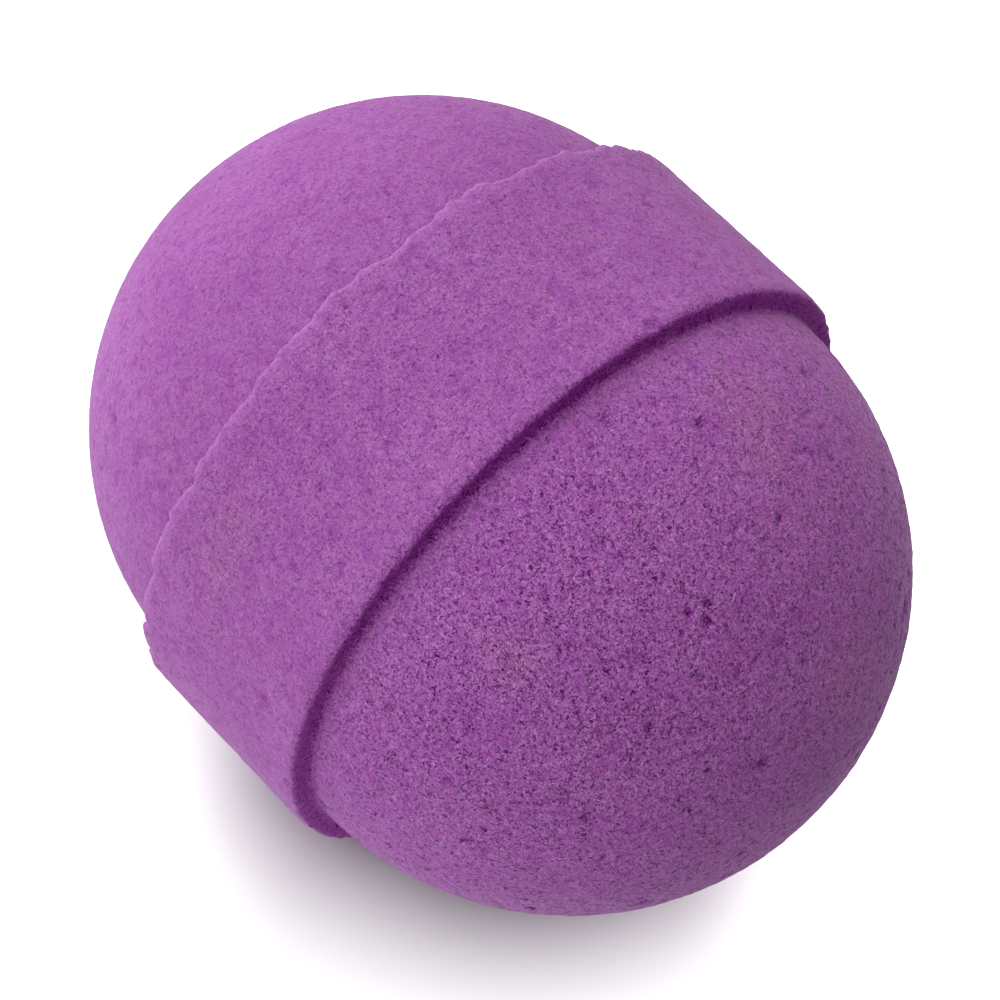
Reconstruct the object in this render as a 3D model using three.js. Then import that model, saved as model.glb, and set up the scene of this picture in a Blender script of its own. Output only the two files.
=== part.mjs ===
// A pressed bath bomb: a ball of effervescent powder made in a press whose two cups
// slide in a plain sleeve. Each cup leaves a hemispherical dome. The powder between the
// two cup rims, held only by the sleeve, becomes a wider cylindrical band, so a flat
// shoulder as wide as a cup's rim runs round the foot of each dome.
//
// Frame: millimetres, +Z up. The ball lies on its band with its axis along X and the
// front dome at +X. The origin is on the ground, under the middle of the band.

import * as THREE from 'three';

// Driving dimensions, in millimetres.
const DOME_RADIUS = 31.75;
const BAND_RADIUS = 34.0;
const BAND_WIDTH = 20.8;
const SHOULDER_ROUND = 0.8; // worn edge of the front shoulder
const LIP_HEIGHT = 0.4; // flash squeezed past the rim of the back cup
const LIP_THICKNESS = 0.6;

// How finely the round surfaces are faceted.
const SEGMENTS = 72;
const DOME_STEPS = 18;
const ROUND_STEPS = 4;

const POWDER = { roughness: 0.95, metalness: 0.0 };
const FRONT_DOME_COLOUR = 0x8c5092;
const BAND_COLOUR = 0x9d5da1;
const BACK_DOME_COLOUR = 0xa765ac;

const HALF_WIDTH = BAND_WIDTH / 2;
const HALF_FACET = Math.PI / SEGMENTS;

// Facet corners stand this much outside the true radius, so that the flat of each facet
// lies on it and one facet of the band lies flat on the ground.
const CORNER_SCALE = 1 / Math.cos(HALF_FACET);

// A profile point: its distance from the axis, then its place along the axis.
function profilePoint(radius, along) {
  return new THREE.Vector2(radius * CORNER_SCALE, along);
}

// Profile points along a quarter circle about (centreRadius, centreAlong). The first lies
// farthest from the axis, and the last farthest along it.
function quarterCircle(centreRadius, centreAlong, radius, steps) {
  const points = [];
  for (let step = 0; step <= steps; step += 1) {
    const angle = ((Math.PI / 2) * step) / steps;
    const pointRadius = centreRadius + radius * Math.cos(angle);
    const pointAlong = centreAlong + radius * Math.sin(angle);
    points.push(profilePoint(pointRadius, pointAlong));
  }
  return points;
}

// Turns a profile about the ball's axis. A lathe turns about Y, so its solid is then
// laid down to bring that axis onto +X.
function turned(name, profile, colour) {
  const geometry = new THREE.LatheGeometry(profile, SEGMENTS, HALF_FACET);
  geometry.rotateZ(-Math.PI / 2);
  const material = new THREE.MeshStandardMaterial({ color: colour, ...POWDER });
  const mesh = new THREE.Mesh(geometry, material);
  mesh.name = name;
  return mesh;
}

// Half a ball, with the centre of its flat base at its own origin and its apex along +X.
function dome(name, colour) {
  const base = profilePoint(0, 0);
  const apex = profilePoint(0, DOME_RADIUS);
  const side = quarterCircle(0, 0, DOME_RADIUS, DOME_STEPS).slice(0, -1);
  return turned(name, [base, ...side, apex], colour);
}

// The full-width disc between the domes, with a rounded front edge and, at the back edge,
// the thin lip of flash. The points at the dome's radius part the shoulders from the
// round areas that the domes cover.
function band(name, colour) {
  const lipFoot = BAND_RADIUS - LIP_THICKNESS;
  const profile = [
    profilePoint(0, -HALF_WIDTH),
    profilePoint(DOME_RADIUS, -HALF_WIDTH),
    profilePoint(lipFoot, -HALF_WIDTH),
    profilePoint(BAND_RADIUS - LIP_THICKNESS / 2, -HALF_WIDTH - LIP_HEIGHT),
    profilePoint(BAND_RADIUS, -HALF_WIDTH),
    ...quarterCircle(
      BAND_RADIUS - SHOULDER_ROUND,
      HALF_WIDTH - SHOULDER_ROUND,
      SHOULDER_ROUND,
      ROUND_STEPS,
    ),
    profilePoint(DOME_RADIUS, HALF_WIDTH),
    profilePoint(0, HALF_WIDTH),
  ];
  return turned(name, profile, colour);
}

const ball = new THREE.Group();
ball.position.z = BAND_RADIUS;

const frontDome = dome('front_dome', FRONT_DOME_COLOUR);
frontDome.position.x = HALF_WIDTH;
ball.add(frontDome);

ball.add(band('band', BAND_COLOUR));

const backDome = dome('back_dome', BACK_DOME_COLOUR);
backDome.position.x = -HALF_WIDTH;
backDome.rotation.z = Math.PI;
ball.add(backDome);

export default ball;
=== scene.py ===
"""A bath bomb: two domes and a wider band of pressed purple powder, on a plain white floor."""

import math
from types import SimpleNamespace

import bpy
import numpy as np
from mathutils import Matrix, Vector


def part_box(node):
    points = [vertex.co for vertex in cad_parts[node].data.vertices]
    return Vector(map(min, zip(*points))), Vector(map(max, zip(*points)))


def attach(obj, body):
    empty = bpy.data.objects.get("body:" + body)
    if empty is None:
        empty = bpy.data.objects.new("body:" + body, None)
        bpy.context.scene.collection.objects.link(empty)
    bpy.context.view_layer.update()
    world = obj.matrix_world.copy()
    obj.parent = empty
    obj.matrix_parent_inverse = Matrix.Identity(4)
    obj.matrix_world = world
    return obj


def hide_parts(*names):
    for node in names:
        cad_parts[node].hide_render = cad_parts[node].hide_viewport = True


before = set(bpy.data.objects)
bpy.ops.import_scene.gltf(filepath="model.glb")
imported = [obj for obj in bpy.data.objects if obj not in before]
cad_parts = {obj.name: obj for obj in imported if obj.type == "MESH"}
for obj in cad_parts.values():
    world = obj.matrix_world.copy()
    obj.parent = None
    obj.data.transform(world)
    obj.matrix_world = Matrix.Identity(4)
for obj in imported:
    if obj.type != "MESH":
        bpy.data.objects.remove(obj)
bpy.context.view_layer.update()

# The mesh code works in millimetres about the middle of the band, with the ball's axis on X.
MM = 0.001
band_low, band_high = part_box("band")
front_low, front_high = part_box("front_dome")
back_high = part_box("back_dome")[1]
AXIS_HEIGHT = (band_low.z + band_high.z) / 2 / MM
BAND_RADIUS = (band_high.y - band_low.y) / 2 / MM
DOME_RADIUS = (front_high.y - front_low.y) / 2 / MM
HALF_WIDTH = front_low.x / MM
LIP_HEIGHT = (back_high.x - band_low.x) / MM

# How finely the surfaces are meshed. The step is the distance between the band's rings.
DOME_GRID = 300
BAND_SEGMENTS = 752
RING_STEP = 0.27

# Each dome goes on this far into the band, and each shoulder this far under its dome.
SKIRT = 0.8
TUCK = 1.0

# The lip of flash, and the powder that fills the corner at the foot of the front dome.
LIP_WIDTH = 0.55
FOOT_FILLET = 0.7
FILLET_STEPS = 4

# The corner at the foot of the front dome has painted shade, a deeper hue and a darkening, this
# far out over the shoulder and this far up the dome. Below the shoulder the painted shade holds
# for the third size, and is gone at twice that.
CORNER_WIDTH = 2.3
CORNER_RISE = 0.5
CORNER_SINK = 0.3

# How strongly the grain shows. The front dome's is painted stronger on its side away from the
# lamps, as painted shading of its relief, and weaker within FOOT_RISE of its foot, where the
# powder is smoother and the weaker grain also paints light on a foot that the band's edge shades.
BAND_GRIT = 1.0
BACK_GRIT = 0.80
FRONT_GRIT = 0.98
SHADED_SIDE = (0.50, -0.60, -0.62)
SHADED_SIDE_GRIT = 0.24
FOOT_RISE = 4.0
FOOT_SMOOTHING_AND_LIGHT = 0.3

# How pitted the powder is, on the front dome and on the rest.
PITTED = 1.0
SMOOTH = 0.3

# The relief of the powder: how high its lumps are, how deep its pits, and how far the pits'
# outlines are bent.
FINE_LUMP = 0.030
COARSE_LUMP = 0.022
SMALL_PIT = 0.18
LARGE_PIT = 0.34
PIT_BEND = 0.32

# How far the front edge is worn back, and how unevenly the edge and the lip's crest break.
EDGE_WEAR = 0.04
EDGE_BREAK = 0.12
LIP_BREAK = 0.10

# Crumbled places on the front dome. Each has its angle from the ball's axis, the angle round
# the axis from +Y towards +Z, a radius and a depth.
CRUMBLED = (
    (75, 77, 0.60, 0.45),
    (52, 96, 0.55, 0.30),
    (50, 98, 0.50, 0.30),
    (53, 100, 0.40, 0.25),
    (22, 112, 0.60, 0.30),
    (56, 73, 0.45, 0.25),
    (44, 123, 0.60, 0.25),
    (37, 21, 0.80, 0.30),
    (50, 198, 0.90, 0.35),
)

# Faint warm stains. Each has a place and a radius.
STAINS = (
    ((19, 12, 28), 5.0),
    ((23, 10, 27), 3.5),
    ((39, 7, 12), 6.0),
    ((22, -18, 23), 3.5),
    ((-4, -27, 21), 4.0),
    ((-4, -29, 17), 4.0),
    ((6, 30, -16), 5.0),
    ((-30, 14, -19), 5.0),
)


# ---------------------------------------------------------------- noise

# Each use of noise has a seed of its own, so that no two agree.


def lattice_random(cells, seed):
    """A repeatable random number from 0 to 1 for each whole-number lattice point.

    The large numbers only mix the bits of the point and the seed.
    """
    cells = cells.astype(np.int64).astype(np.uint32)
    mixed = cells[..., 0] * np.uint32(73856093)
    mixed ^= cells[..., 1] * np.uint32(19349663)
    mixed ^= cells[..., 2] * np.uint32(83492791)
    mixed ^= np.uint32(seed * 40503 + 12345)
    mixed ^= mixed >> np.uint32(15)
    mixed *= np.uint32(2246822519)
    mixed ^= mixed >> np.uint32(13)
    mixed *= np.uint32(3266489917)
    mixed ^= mixed >> np.uint32(16)
    return mixed.astype(np.float64) / np.iinfo(np.uint32).max


def value_noise(points, size, seed):
    """Smooth noise from -1 to 1 whose features are about size millimetres."""
    scaled = points / size
    cell = np.floor(scaled)
    part = scaled - cell
    eased = part * part * part * (part * (part * 6 - 15) + 10)
    total = np.zeros(len(points))
    for corner in np.ndindex(2, 2, 2):
        weight = np.prod(np.where(corner, eased, 1 - eased), axis=1)
        total += weight * lattice_random(cell + corner, seed)
    return total * 2 - 1


def layered_noise(points, size, layers, seed):
    """Noise with finer, weaker layers added to it."""
    total = np.zeros(len(points))
    for layer in range(layers):
        total += value_noise(points, size / 2**layer, seed + layer) / 2**layer
    return total


def pits(points, cell_size, radius, share, seed):
    """How deep in a pit each point lies, from 0 outside to 1 at the bottom.

    A share of the cells holds a pit, from half to one and a half times the radius.
    """
    base = np.floor(points / cell_size)
    deepest = np.zeros(len(points))
    for step in np.ndindex(3, 3, 3):
        cell = base + np.array(step) - 1
        centre = np.stack([lattice_random(cell, seed + k) for k in range(3)], axis=1)
        centre = (cell + centre) * cell_size
        size = radius * (0.5 + lattice_random(cell, seed + 3))
        there = lattice_random(cell, seed + 4) < share
        distance = np.linalg.norm(points - centre, axis=1) / size
        inside = np.clip(1 - distance**2, 0, 1) ** 1.5 * np.minimum(size / radius, 1)
        deepest = np.maximum(deepest, np.where(there, inside, 0))
    return deepest


# ---------------------------------------------------------------- the surface of the powder


def relief(points, grain, pitting, seed):
    """The powder's height over its true shape in millimetres, and how hollow it is, 0 to 1."""
    warp = np.stack([value_noise(points, 0.9, seed + 50 + k) for k in range(3)], axis=1)
    warped = points + PIT_BEND * warp
    fine = layered_noise(points, 0.75, 2, seed)
    coarse = value_noise(points, 2.4, seed + 7)
    height = grain * (FINE_LUMP * fine + COARSE_LUMP * coarse)
    small = pits(warped, cell_size=1.25, radius=0.42, share=0.34 * pitting, seed=seed + 20)
    large = pits(warped, cell_size=3.1, radius=0.75, share=0.20 * pitting, seed=seed + 30)
    height -= SMALL_PIT * small + LARGE_PIT * large
    return height, np.maximum(small, large)


def dome_direction(from_axis, round_axis):
    """The unit vector at that angle from the ball's axis and that angle round it from +Y."""
    tilt, turn = math.radians(from_axis), math.radians(round_axis)
    out = math.sin(tilt)
    return np.array([math.cos(tilt), out * math.cos(turn), out * math.sin(turn)])


def crumbled(points):
    """How deep in a crumbled place each point lies in millimetres, and its share, 0 to 1."""
    deep = np.zeros(len(points))
    share = np.zeros(len(points))
    ragged = layered_noise(points, 0.85, 2, 900)
    for from_axis, round_axis, radius, depth in CRUMBLED:
        centre = DOME_RADIUS * dome_direction(from_axis, round_axis) + np.array([HALF_WIDTH, 0, 0])
        near = 1 - np.linalg.norm(points - centre, axis=1) / radius
        inside = np.clip(near * 1.8 + 0.7 * ragged, 0, 1) * (near > -0.3)
        deep = np.maximum(deep, inside * depth)
        share = np.maximum(share, inside)
    return deep, share


def stained(points):
    """How far each point lies in a warm stain, 0 to 1."""
    share = np.zeros(len(points))
    for place, radius in STAINS:
        near = 1 - np.linalg.norm(points - np.array(place), axis=1) / radius
        share = np.maximum(share, np.clip(near * 1.6, 0, 1))
    return share


def corner_painted_shade(points):
    """How much painted shade, as a deeper hue and as a darkening, each point at the front dome's
    foot has, 0 to 1.
    """
    out = np.hypot(points[:, 1], points[:, 2]) - DOME_RADIUS
    along = points[:, 0] - HALF_WIDTH
    up_the_dome = np.clip(1 - np.maximum(along, 0) / CORNER_RISE, 0, 1)
    over_the_shoulder = np.clip(1 - np.maximum(out, 0) / CORNER_WIDTH, 0, 1)
    outside = np.clip(2 + along / CORNER_SINK, 0, 1)
    share = up_the_dome * over_the_shoulder * outside

    # The painted darkening lies in the upper part, where the band's edge hides the lamps, and the
    # painted hue is a little weaker low down.
    upper = np.clip(0.35 + 0.65 * points[:, 2] / BAND_RADIUS, 0, 1)
    deep = np.clip(3 * share, 0, 1) * (0.6 + 0.4 * upper)
    shade = np.clip(1.6 * share, 0, 1) * upper
    return deep, shade


def front_grit(points, normal):
    """How strongly the front dome's grain shows, with painted shade away from the lamps and painted
    light near its foot.
    """
    near_foot = np.clip(1 - (points[:, 0] - HALF_WIDTH) / FOOT_RISE, 0, 1)
    grit = FRONT_GRIT + SHADED_SIDE_GRIT * normal @ np.array(SHADED_SIDE)
    return grit * (1 - FOOT_SMOOTHING_AND_LIGHT * near_foot)


# ---------------------------------------------------------------- meshes


def make_object(name, points, polygons, marks, material):
    """A smooth-shaded object from points in millimetres, with numbers that mark each point."""
    mesh = bpy.data.meshes.new(name)
    placed = (points + np.array([0, 0, AXIS_HEIGHT])) * MM
    polygons = [polygon for group in polygons for polygon in group.tolist()]
    mesh.from_pydata(placed.tolist(), [], polygons)
    mesh.polygons.foreach_set("use_smooth", [True] * len(mesh.polygons))
    # The painted shade at the foot of the front dome, as a deeper hue and as a darkening.
    corner, shade = corner_painted_shade(points)
    marks = dict(marks, corner=corner, shade=shade, stain=stained(points))
    for key, values in marks.items():
        attribute = mesh.attributes.new(key, "FLOAT", "POINT")
        attribute.data.foreach_set("value", np.resize(values, len(points)).astype(np.float32))
    mesh.materials.append(material)
    mesh.update()
    obj = bpy.data.objects.new(name, mesh)
    bpy.context.scene.collection.objects.link(obj)
    return obj


def square_to_disc(a, b):
    """Maps a square from -1 to 1 onto the unit disc, as a signed radius and an angle."""
    wide = np.abs(a) > np.abs(b)
    safe_a = np.where(a == 0, 1, a)
    safe_b = np.where(b == 0, 1, b)
    angle = np.where(wide, math.pi / 4 * b / safe_a, math.pi / 2 - math.pi / 4 * a / safe_b)
    return np.where(wide, a, b), angle


def grid_quads(n):
    """The quads of an n by n grid of points."""
    corner = (np.arange(n - 1)[:, None] * n + np.arange(n - 1)).ravel()
    return np.stack([corner, corner + n, corner + n + 1, corner + 1], axis=1)


def grid_rim(n):
    """The points on the outside of an n by n grid, in order round it."""
    last = n * n - 1
    sides = [
        np.arange(0, n - 1),
        np.arange(n - 1, last, n),
        np.arange(last, last - n + 1, -1),
        np.arange(last - n + 1, 0, -n),
    ]
    return np.concatenate(sides)


def half_ball(n, side):
    """The unit normals of a half-ball that points along X, as an n by n grid."""
    line = np.linspace(-1, 1, n)
    a, b = np.meshgrid(line, line, indexing="ij")
    radius, angle = square_to_disc(a.ravel(), b.ravel())
    along = side * (1 - radius**2)
    out = radius * np.sqrt(2 - radius**2)
    return np.stack([along, out * np.cos(angle), out * np.sin(angle)], axis=1)


def dome(name, side, grain, pitting, seed, material):
    """The half-ball at the front (side 1) or back (side -1), with a skirt sunk into the band."""
    n = DOME_GRID + 1
    rim = grid_rim(n)
    normal = half_ball(n, side)
    skirt = normal[rim] * DOME_RADIUS - np.array([side * SKIRT, 0, 0])
    points = np.concatenate([normal * DOME_RADIUS, skirt])
    points[:, 0] += side * HALF_WIDTH
    normal = np.concatenate([normal, normal[rim]])
    height, hollow = relief(points, grain, pitting, seed)
    grit = BACK_GRIT
    if side > 0:
        deep, share = crumbled(points)
        height -= deep
        hollow = np.maximum(hollow, 1.6 * share)
        grit = np.append(front_grit(points, normal), FRONT_GRIT)
    points = points + normal * height[:, None]

    # The wall of the skirt, and the cap that closes the dome inside the band.
    foot = n * n + np.arange(len(rim))
    centre = np.full(len(rim), len(points))
    points = np.concatenate([points, [[side * (HALF_WIDTH - SKIRT), 0, 0]]])
    wall = np.stack([rim, np.roll(rim, -1), np.roll(foot, -1), foot], axis=1)
    cap = np.stack([foot, np.roll(foot, -1), centre], axis=1)
    polygons = [grid_quads(n), wall, cap]
    if side < 0:
        polygons = [group[:, ::-1] for group in polygons]
    marks = {"hollow": np.append(hollow, 0), "grit": grit, "crest": 0}
    return make_object(name, points, polygons, marks, material)


def band_profile():
    """The band's outline from the back to the front as radius, place on X and two shares.

    The first share is 1 on the crest of the back lip of flash, the second on the front edge.
    """
    inner = DOME_RADIUS - TUCK
    front_foot = DOME_RADIUS + FOOT_FILLET
    back_shoulder = [
        (inner, -HALF_WIDTH, 0, 0),
        (BAND_RADIUS - 2 * LIP_WIDTH, -HALF_WIDTH, 0, 0),
    ]
    lip = [
        (BAND_RADIUS - LIP_WIDTH, -HALF_WIDTH, 1, 0),
        (BAND_RADIUS - 0.22, -HALF_WIDTH + 0.12, 1, 0),
        (BAND_RADIUS - 0.05, -HALF_WIDTH + 0.42, 0.8, 0),
        (BAND_RADIUS, -HALF_WIDTH + 0.9, 0.4, 0),
    ]
    rim = [
        (BAND_RADIUS, -HALF_WIDTH + 1.7, 0, 0),
        (BAND_RADIUS, HALF_WIDTH - 1.1, 0, 0),
    ]
    worn_edge = [
        (BAND_RADIUS - 0.06, HALF_WIDTH - 0.6, 0, 0.4),
        (BAND_RADIUS - 0.17, HALF_WIDTH - 0.14, 0, 1),
        (BAND_RADIUS - 0.34, HALF_WIDTH, 0, 1),
    ]
    fillet = [(front_foot, HALF_WIDTH, 0, 0)]
    for k in range(1, FILLET_STEPS + 1):
        turn = math.pi / 2 * k / FILLET_STEPS
        radius = front_foot - FOOT_FILLET * math.sin(turn)
        fillet.append((radius, HALF_WIDTH + FOOT_FILLET * (1 - math.cos(turn)), 0, 0))
    tucked = [(inner, HALF_WIDTH + FOOT_FILLET, 0, 0)]
    outline = np.array(back_shoulder + lip + rim + worn_edge + fillet + tucked)

    rows = []
    for start, end in zip(outline[:-1], outline[1:]):
        steps = max(1, round(np.hypot(*(end - start)[:2]) / RING_STEP))
        rows += [start + (end - start) * k / steps for k in range(steps)]
    return np.array(rows + [outline[-1]])


def lip_rise(rim_points, seed):
    """How far the lip stands out backwards, in lip heights. It is uneven, and chipped in places."""
    waves = 1.1 * layered_noise(rim_points, 6.5, 2, seed + 60)
    teeth = 0.9 * layered_noise(rim_points, 1.8, 2, seed + 65)
    chipped = np.clip(layered_noise(rim_points, 6.0, 3, seed + 70) * 5, 0, 1)
    return np.clip(1.1 + waves + teeth, -0.2, 2.5) - 0.9 * chipped


def band(name, grain, pitting, seed, material):
    """The disc between the domes, with its shoulders, worn front edge and lip of flash."""
    radius, along, lip, edge = band_profile().T
    tangent = np.stack([np.gradient(radius), np.gradient(along)], axis=1)
    tangent /= np.linalg.norm(tangent, axis=1)[:, None]
    out_r, out_x = tangent[:, 1], -tangent[:, 0]
    angle = np.arange(BAND_SEGMENTS) / BAND_SEGMENTS * 2 * math.pi
    ring = np.stack([np.zeros(BAND_SEGMENTS), np.cos(angle), np.sin(angle)], axis=1)
    axis = np.array([1.0, 0.0, 0.0])
    points = radius[:, None, None] * ring + along[:, None, None] * axis
    normal = out_r[:, None, None] * ring + out_x[:, None, None] * axis
    points = points.reshape(-1, 3)
    normal = normal.reshape(-1, 3)
    lip = np.repeat(lip, BAND_SEGMENTS)
    edge = np.repeat(edge, BAND_SEGMENTS)
    height, hollow = relief(points, grain, pitting, seed)
    height += edge * (EDGE_BREAK * layered_noise(points, 1.0, 2, seed + 80) - EDGE_WEAR)
    height += lip * LIP_BREAK * layered_noise(points, 0.9, 2, seed + 90)
    points = points + normal * height[:, None]
    rim_points = np.tile(ring * BAND_RADIUS, (len(radius), 1))
    points[:, 0] -= lip * LIP_HEIGHT * lip_rise(rim_points, seed)

    rows = len(radius)
    corner = np.arange(rows * BAND_SEGMENTS).reshape(rows, BAND_SEGMENTS)
    beside = np.roll(corner, -1, axis=1)
    side = np.stack([corner[:-1], beside[:-1], beside[1:], corner[1:]], axis=-1).reshape(-1, 4)
    back_centre = np.full(BAND_SEGMENTS, len(points))
    back_cap = np.stack([corner[0], back_centre, beside[0]], axis=1)
    front_cap = np.stack([corner[-1], beside[-1], back_centre + 1], axis=1)
    points = np.concatenate([points, [[-HALF_WIDTH, 0, 0], [HALF_WIDTH + FOOT_FILLET, 0, 0]]])
    marks = {
        "hollow": np.append(hollow, [0, 0]),
        "grit": BAND_GRIT,
        "crest": np.append(lip, [0, 0]),
    }
    return make_object(name, points, [side, back_cap, front_cap], marks, material)


# ---------------------------------------------------------------- material


class Graph:
    """Short forms for building nodes. An input is a number, a colour, a vector or a socket."""

    def __init__(self, owner):
        owner.use_nodes = True
        self.tree = owner.node_tree
        self.tree.nodes.clear()

    def put(self, socket, value):
        """Links the value to the socket, or sets it there."""
        if isinstance(value, bpy.types.NodeSocket):
            self.tree.links.new(value, socket)
        else:
            socket.default_value = value

    def add(self, kind, inputs, **settings):
        """A new node with those settings, and inputs given by name or by number."""
        node = self.tree.nodes.new(kind)
        for key, value in settings.items():
            setattr(node, key, value)
        for key, value in inputs.items():
            self.put(node.inputs[key], value)
        return node

    def math(self, operation, *values):
        """The result of that operation on numbers."""
        return self.add("ShaderNodeMath", dict(enumerate(values)), operation=operation).outputs[0]

    def vector(self, operation, *values):
        """The node of that operation on vectors."""
        return self.add("ShaderNodeVectorMath", dict(enumerate(values)), operation=operation)

    def moved(self, vector, by):
        """The vector with another one added."""
        return self.vector("ADD", vector, by).outputs["Vector"]

    def scaled(self, vector, amount):
        """The vector times a number."""
        inputs = {"Vector": vector, "Scale": amount}
        return self.add("ShaderNodeVectorMath", inputs, operation="SCALE").outputs["Vector"]

    def total(self, weighted, start=0.0):
        """The start plus each socket times its weight."""
        for socket, weight in weighted:
            start = self.math("MULTIPLY_ADD", socket, weight, start)
        return start

    def mark(self, name):
        """The number that the mesh carries under that name."""
        return self.add("ShaderNodeAttribute", {}, attribute_name=name).outputs["Fac"]

    def noise(self, vector, size, detail, rough):
        """The outputs of noise from 0 to 1 whose features are about size millimetres."""
        inputs = {"Vector": vector, "Scale": 1 / size, "Detail": detail, "Roughness": rough}
        return self.add("ShaderNodeTexNoise", inputs).outputs

    def cells(self, vector, size, feature):
        """The outputs of a pattern of cells about size millimetres wide."""
        inputs = {"Vector": vector, "Scale": 1 / size}
        return self.add("ShaderNodeTexVoronoi", inputs, feature=feature).outputs

    def ramp(self, value, low, high, to_low=0.0, to_high=1.0):
        """A smooth step from one number at low to the other at high."""
        inputs = {"Value": value, "From Min": low, "From Max": high}
        inputs |= {"To Min": to_low, "To Max": to_high}
        return self.add("ShaderNodeMapRange", inputs, interpolation_type="SMOOTHSTEP").outputs[0]

    def mix(self, share, first, second, blend="MIX"):
        """The first colour, blended with a share of the second."""
        inputs = {0: share, 6: first, 7: second}
        return self.add("ShaderNodeMix", inputs, data_type="RGBA", blend_type=blend).outputs[2]


PURPLE = (0.455, 0.139, 0.480, 1)
PURPLE_PALE = (0.485, 0.160, 0.508, 1)
PURPLE_DEEP = (0.420, 0.103, 0.450, 1)
STAIN = (0.480, 0.180, 0.405, 1)
SPECK = (0.760, 0.330, 0.600, 1)
HOLE = (0.140, 0.000, 0.165, 1)
# The lip's crest is painted paler, a painted highlight on top of the light it really gets.
CREST_HIGHLIGHT = (0.600, 0.230, 0.620, 1)

# Painted shade: the powder's colour is multiplied by these in the corner at the foot of the front
# dome, the first for its deeper hue, the second for its darkening.
CORNER_SHADE_HUE = (0.930, 0.500, 0.950, 1)
SHADE = (0.740, 0.560, 0.750, 1)

SHEEN = (0.950, 0.750, 1.000, 1)

# The usual width of a grain, and how far its outline is bent, in millimetres.
GRAIN = 0.34
BEND = 0.5

# How strongly the grain shows at the lowest angle, how much it gains when seen straight on, and
# how much more of it shows in the corner.
GRAZING = 0.27
STRAIGHT_ON = 0.75
CORNER_GRIT = 1.5

# How far a gap between grains, and a hole, is turned to the hole's colour.
GAP_DARK = 0.80
HOLE_DARK = 0.95

# The noises of the powder. Each has a size in millimetres, a detail, a roughness and a shift,
# which keeps noises of a like size from lying on each other.
NOISES = {
    "bend": (0.50, 1.0, 0.5, (0, 0, 0)),
    "gaps": (0.43, 1.0, 0.5, (11, 5, 17)),
    "holes": (0.30, 2.0, 0.5, (3, 23, 9)),
    "dust": (0.17, 1.0, 0.7, (0, 0, 0)),
    "grain": (0.26, 1.0, 0.5, (7, 1, 29)),
    "crumb": (0.55, 1.0, 0.5, (19, 13, 2)),
    "specks": (0.33, 1.0, 0.5, (5, 41, 8)),
    "mottle": (0.70, 2.0, 0.5, (2, 9, 37)),
    "patch": (1.60, 3.0, 0.6, (0, 0, 0)),
    "stain": (7.00, 4.0, 0.5, (31, 7, 3)),
    "tint": (9.00, 3.0, 0.5, (0, 0, 0)),
}


def powder_noise(g, place, name, output="Fac"):
    """The powder's noise of that name."""
    size, detail, rough, shift = NOISES[name]
    return g.noise(g.moved(place, shift), size, detail, rough)[output]


def powder_facing(g, corner):
    """How strongly the grain shows: less at a low angle, and more where the mesh says so."""
    geometry = g.add("ShaderNodeNewGeometry", {}).outputs
    seen = g.vector("DOT_PRODUCT", geometry["Normal"], geometry["Incoming"]).outputs["Value"]
    facing = g.math("MULTIPLY_ADD", g.math("ABSOLUTE", seen), STRAIGHT_ON, GRAZING)
    return g.math("MULTIPLY", facing, g.total(((corner, CORNER_GRIT),), g.mark("grit")))


def powder_texture(g, place, hollow, pitting):
    """The powder's fine texture: its grains, the gaps and pinholes between them, and crumbs."""
    bend = g.moved(powder_noise(g, place, "bend", "Color"), (-0.5, -0.5, -0.5))
    bent = g.moved(place, g.scaled(bend, BEND))
    patch = powder_noise(g, place, "patch")
    loose = g.ramp(patch, 0.42, 0.62)

    # Grains with a tone of their own, and broken gaps between them.
    cells = g.cells(bent, GRAIN, "F1")
    tone = g.add("ShaderNodeSeparateColor", {"Color": cells["Color"]}).outputs[0]
    edge = g.cells(bent, GRAIN, "DISTANCE_TO_EDGE")["Distance"]
    broken = powder_noise(g, place, "gaps")
    broken = g.total(((loose, 0.06 * pitting), (hollow, 0.15)), broken)
    gaps = g.math("MULTIPLY", g.ramp(edge, 0.03, 0.16, 1.0, 0.0), g.ramp(broken, 0.56, 0.66))

    # Pinholes: ragged spots where a finer noise is lowest.
    spot = powder_noise(g, bent, "holes")
    spot = g.total(((loose, -0.07 * pitting), (hollow, -0.10)), spot)
    holes = g.ramp(spot, 0.27, 0.36, 1.0, 0.0)

    return SimpleNamespace(
        patch=patch,
        tone=tone,
        middle=cells["Distance"],
        gaps=gaps,
        holes=holes,
        dust=powder_noise(g, place, "dust"),
        grain=powder_noise(g, place, "grain"),
        crumb=powder_noise(g, place, "crumb"),
    )


def powder_stain(g, place):
    """Where the powder is stained, 0 to 1: faintly in places, and at the stains of the mesh."""
    faint = g.ramp(powder_noise(g, place, "stain"), 0.56, 0.72)
    return g.math("MAXIMUM", g.math("MULTIPLY", faint, 0.4), g.mark("stain"))


def powder_base(g, place, texture, stain):
    """The powder's colour before its grain."""
    tint = g.ramp(powder_noise(g, place, "tint"), 0.35, 0.65)
    colour = g.mix(tint, PURPLE, PURPLE_PALE)
    colour = g.mix(g.ramp(texture.patch, 0.55, 0.30), colour, PURPLE_DEEP)
    mottle = g.ramp(powder_noise(g, place, "mottle"), 0.30, 0.65)
    return g.mix(g.math("MULTIPLY", stain, g.math("MULTIPLY", mottle, 0.60)), colour, STAIN)


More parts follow.
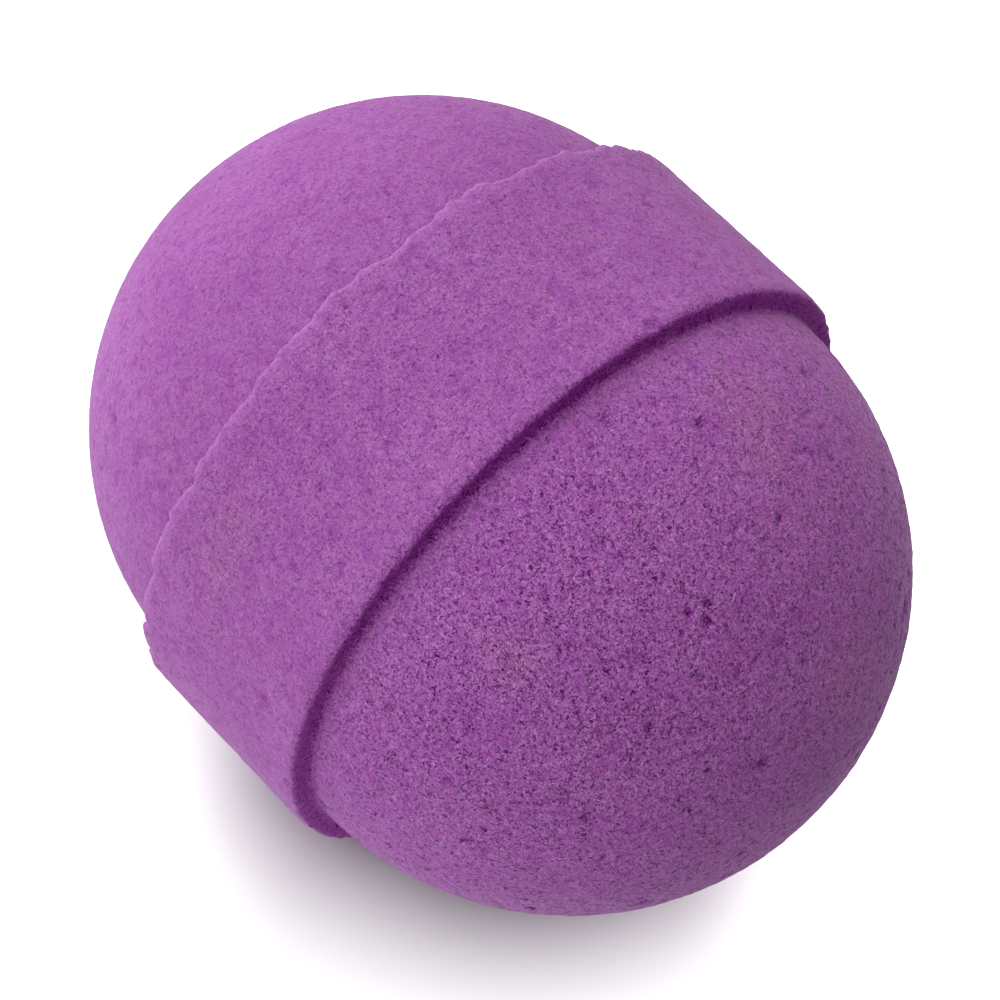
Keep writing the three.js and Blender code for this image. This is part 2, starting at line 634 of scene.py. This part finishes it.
def powder_grained(g, colour, texture, facing, rough):
    """The colour with the grain's tones on it. Green changes most, as the powder is purple."""
    layers = (
        (texture.dust, 1.70 * rough),
        (texture.grain, 0.70 * rough),
        (texture.tone, 0.20 * rough),
        (texture.crumb, 0.30 * rough),
    )
    middle = sum(weight for layer, weight in layers) / 2
    uneven = g.total(layers, -middle)
    tone = g.math("MULTIPLY_ADD", uneven, facing, 1.0)
    green = g.math("POWER", tone, 2.3)
    tones = g.add("ShaderNodeCombineColor", {"Red": tone, "Green": green, "Blue": tone})
    return g.mix(1.0, colour, tones.outputs[0], "MULTIPLY")


def powder_height(g, texture, facing, rough):
    """The height of the fine texture, in millimetres."""
    fine = g.total(((texture.dust, 0.04 * rough), (texture.grain, 0.07 * rough)))
    layers = (
        (texture.middle, -0.05 * rough),
        (texture.crumb, 0.12),
        (texture.gaps, -0.05),
        (texture.holes, -0.08),
        (texture.patch, 0.07),
    )
    return g.total(layers, g.math("MULTIPLY", fine, facing))


def powder(name, pitting):
    """Pressed powder: grains of uneven tone, dark gaps and pinholes between them, faint stains."""
    material = bpy.data.materials.new(name)
    g = Graph(material)
    place = g.scaled(g.add("ShaderNodeTexCoord", {}).outputs["Object"], 1 / MM)
    # The corner's share of painted shade.
    corner = g.mark("corner")
    hollow = g.mark("hollow")
    facing = powder_facing(g, corner)
    texture = powder_texture(g, place, hollow, pitting)

    # How strong the tones and the fine relief are.
    rough = 0.42 + 0.48 * pitting

    # Gaps and pinholes are dark. Neither they nor the corner's painted shade have a sheen.
    dark = g.math("MAXIMUM", g.math("MULTIPLY", texture.gaps, GAP_DARK), texture.holes)
    dark = g.math("MULTIPLY", dark, g.math("MULTIPLY", facing, 0.54 + 0.48 * pitting))
    dusty = g.math("MULTIPLY", g.math("SUBTRACT", 1.0, dark), g.math("SUBTRACT", 1.0, corner))

    stain = powder_stain(g, place)
    colour = powder_base(g, place, texture, stain)
    colour = powder_grained(g, colour, texture, facing, rough)
    specks = g.total(((stain, 0.07),), powder_noise(g, place, "specks"))
    colour = g.mix(g.ramp(specks, 0.72, 0.80, 0.0, 0.6), colour, SPECK)
    colour = g.mix(g.math("MULTIPLY", dark, HOLE_DARK), colour, HOLE)
    # A painted highlight on the lip's crest.
    colour = g.mix(g.math("MULTIPLY", g.mark("crest"), 0.35), colour, CREST_HIGHLIGHT)
    # Painted shade: the corner, and more faintly the pits and crumbled places, get a deeper hue,
    # and the upper corner a darkening.
    deep = g.math("MAXIMUM", corner, g.math("MULTIPLY", hollow, 0.30))
    colour = g.mix(deep, colour, CORNER_SHADE_HUE, "MULTIPLY")
    colour = g.mix(g.mark("shade"), colour, SHADE, "MULTIPLY")

    height = powder_height(g, texture, facing, rough)
    bump = g.add("ShaderNodeBump", {"Strength": 1.0, "Distance": MM, "Height": height})
    inputs = {
        "Base Color": colour,
        "Roughness": g.math("MULTIPLY_ADD", texture.grain, 0.30, 0.70),
        "Normal": bump.outputs[0],
        "Diffuse Roughness": 1.0,
        "Specular IOR Level": g.math("MULTIPLY", dusty, 0.12),
        "Sheen Weight": g.math("MULTIPLY", dusty, 0.22),
        "Sheen Roughness": 0.35,
        "Sheen Tint": SHEEN,
    }
    surface = g.add("ShaderNodeBsdfPrincipled", inputs)
    g.add("ShaderNodeOutputMaterial", {"Surface": surface.outputs[0]})
    return material


# ---------------------------------------------------------------- the ball

pitted = powder("powder_pitted", PITTED)
smooth = powder("powder_smooth", SMOOTH)

front = dome("front_dome_powder", side=1, grain=1.6, pitting=PITTED, seed=100, material=pitted)
belt = band("band_powder", grain=1.0, pitting=SMOOTH, seed=300, material=smooth)
back = dome("back_dome_powder", side=-1, grain=1.0, pitting=SMOOTH, seed=200, material=smooth)
for piece, node, slot in (
    (front, "front_dome", "powder_pitted"),
    (belt, "band", "powder_smooth"),
    (back, "back_dome", "powder_smooth"),
):
    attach(piece, "root")
    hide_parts(node)


# ---------------------------------------------------------------- floor, light and camera

# The floor's half-width in metres. It returns this share of its colour as light out to the
# first distance from the ball, and none beyond the second.
FLOOR_SIZE = 6.0
FLOOR_WHITE = (0.9, 0.9, 0.9, 1)
FLOOR_SHARE = 0.60
FLOOR_NEAR = 0.08
FLOOR_FAR = 0.20

# How bright the white surroundings are as a light. The camera sees them fully white.
WORLD_LIGHT = 0.04

CAMERA_AZIMUTH = 48.31
CAMERA_ELEVATION = 60.57
CAMERA_DISTANCE = 10 * BAND_RADIUS * MM
CAMERA_SHIFT = Vector((0.0105, 0.0015, 0)) * BAND_RADIUS * MM
LENS = 129.74
SENSOR_WIDTH = 36


def floor_material():
    """Plain white to the camera. Other rays find it white only near the ball."""
    material = bpy.data.materials.new("floor_white")
    g = Graph(material)
    seen = g.add("ShaderNodeLightPath", {}).outputs["Is Camera Ray"]
    place = g.add("ShaderNodeTexCoord", {}).outputs["Object"]
    away = g.vector("LENGTH", place).outputs["Value"]
    given = g.ramp(away, FLOOR_NEAR, FLOOR_FAR, FLOOR_SHARE, 0.0)
    shown = g.mix(g.math("MAXIMUM", seen, given), (0, 0, 0, 1), FLOOR_WHITE)
    surface = g.add("ShaderNodeBsdfDiffuse", {"Color": shown})
    g.add("ShaderNodeOutputMaterial", {"Surface": surface.outputs[0]})
    return material


def floor():
    """A large square on the ground."""
    size = FLOOR_SIZE
    mesh = bpy.data.meshes.new("floor")
    corners = [(-size, -size, 0), (size, -size, 0), (size, size, 0), (-size, size, 0)]
    mesh.from_pydata(corners, [], [(0, 1, 2, 3)])
    mesh.materials.append(floor_material())
    obj = bpy.data.objects.new("floor", mesh)
    bpy.context.scene.collection.objects.link(obj)
    return obj


def direction(azimuth, elevation):
    """The unit vector towards a place seen at that azimuth (0 is -Y, 90 is +X) and elevation."""
    a, e = math.radians(azimuth), math.radians(elevation)
    return Vector((math.sin(a) * math.cos(e), -math.cos(a) * math.cos(e), math.sin(e)))


def turned(obj, towards):
    """Puts a lamp or camera in the scene, turned to look from that direction."""
    obj.rotation_mode = "QUATERNION"
    obj.rotation_quaternion = towards.to_track_quat("Z", "Y")
    bpy.context.scene.collection.objects.link(obj)
    return obj


def sun(name, azimuth, elevation, strength, softness, lit, colour=(1, 1, 1)):
    """A very soft distant light from there, shining only on the objects in lit."""
    data = bpy.data.lights.new(name, "SUN")
    data.energy = strength
    data.color = colour
    data.angle = math.radians(softness)
    lamp = turned(bpy.data.objects.new(name, data), direction(azimuth, elevation))
    only = bpy.data.collections.new(name + "_lit")
    for target in lit:
        only.objects.link(target)
    lamp.light_linking.receiver_collection = only


def surroundings():
    """White all round as the camera sees it, but nearly dark as a light."""
    world = bpy.data.worlds.new("studio")
    bpy.context.scene.world = world
    g = Graph(world)
    seen = g.add("ShaderNodeLightPath", {}).outputs["Is Camera Ray"]
    strength = g.ramp(seen, 0.0, 1.0, WORLD_LIGHT, 1.0)
    shade = g.add("ShaderNodeBackground", {"Color": (1, 1, 1, 1), "Strength": strength})
    g.add("ShaderNodeOutputWorld", {"Surface": shade.outputs[0]})


def camera():
    """The camera, looking down at the front dome and the band."""
    data = bpy.data.cameras.new("camera")
    data.lens = LENS
    data.sensor_width = SENSOR_WIDTH
    data.clip_start = 0.01
    data.clip_end = 50
    towards = direction(CAMERA_AZIMUTH, CAMERA_ELEVATION)
    obj = turned(bpy.data.objects.new("camera", data), towards)
    middle = Vector((0, 0, AXIS_HEIGHT * MM))
    obj.location = middle + towards * CAMERA_DISTANCE + obj.rotation_quaternion @ CAMERA_SHIFT
    bpy.context.scene.camera = obj


ground = floor()
ball = [front, belt, back]
sun("floor_light", 92, 77, strength=4.7, softness=50, lit=[ground])
sun("floor_low_light", 228, 21, strength=6.5, softness=25, lit=[ground])
sun("back_light", 240, 46, strength=2.00, softness=60, lit=ball, colour=(0.94, 1.00, 0.92))
sun("left_light", 330, 28, strength=1.50, softness=60, lit=ball, colour=(0.96, 0.99, 1.03))
sun("top_light", 30, 64, strength=1.15, softness=60, lit=ball)
surroundings()
camera()
bpy.context.scene.view_settings.view_transform = "Standard"
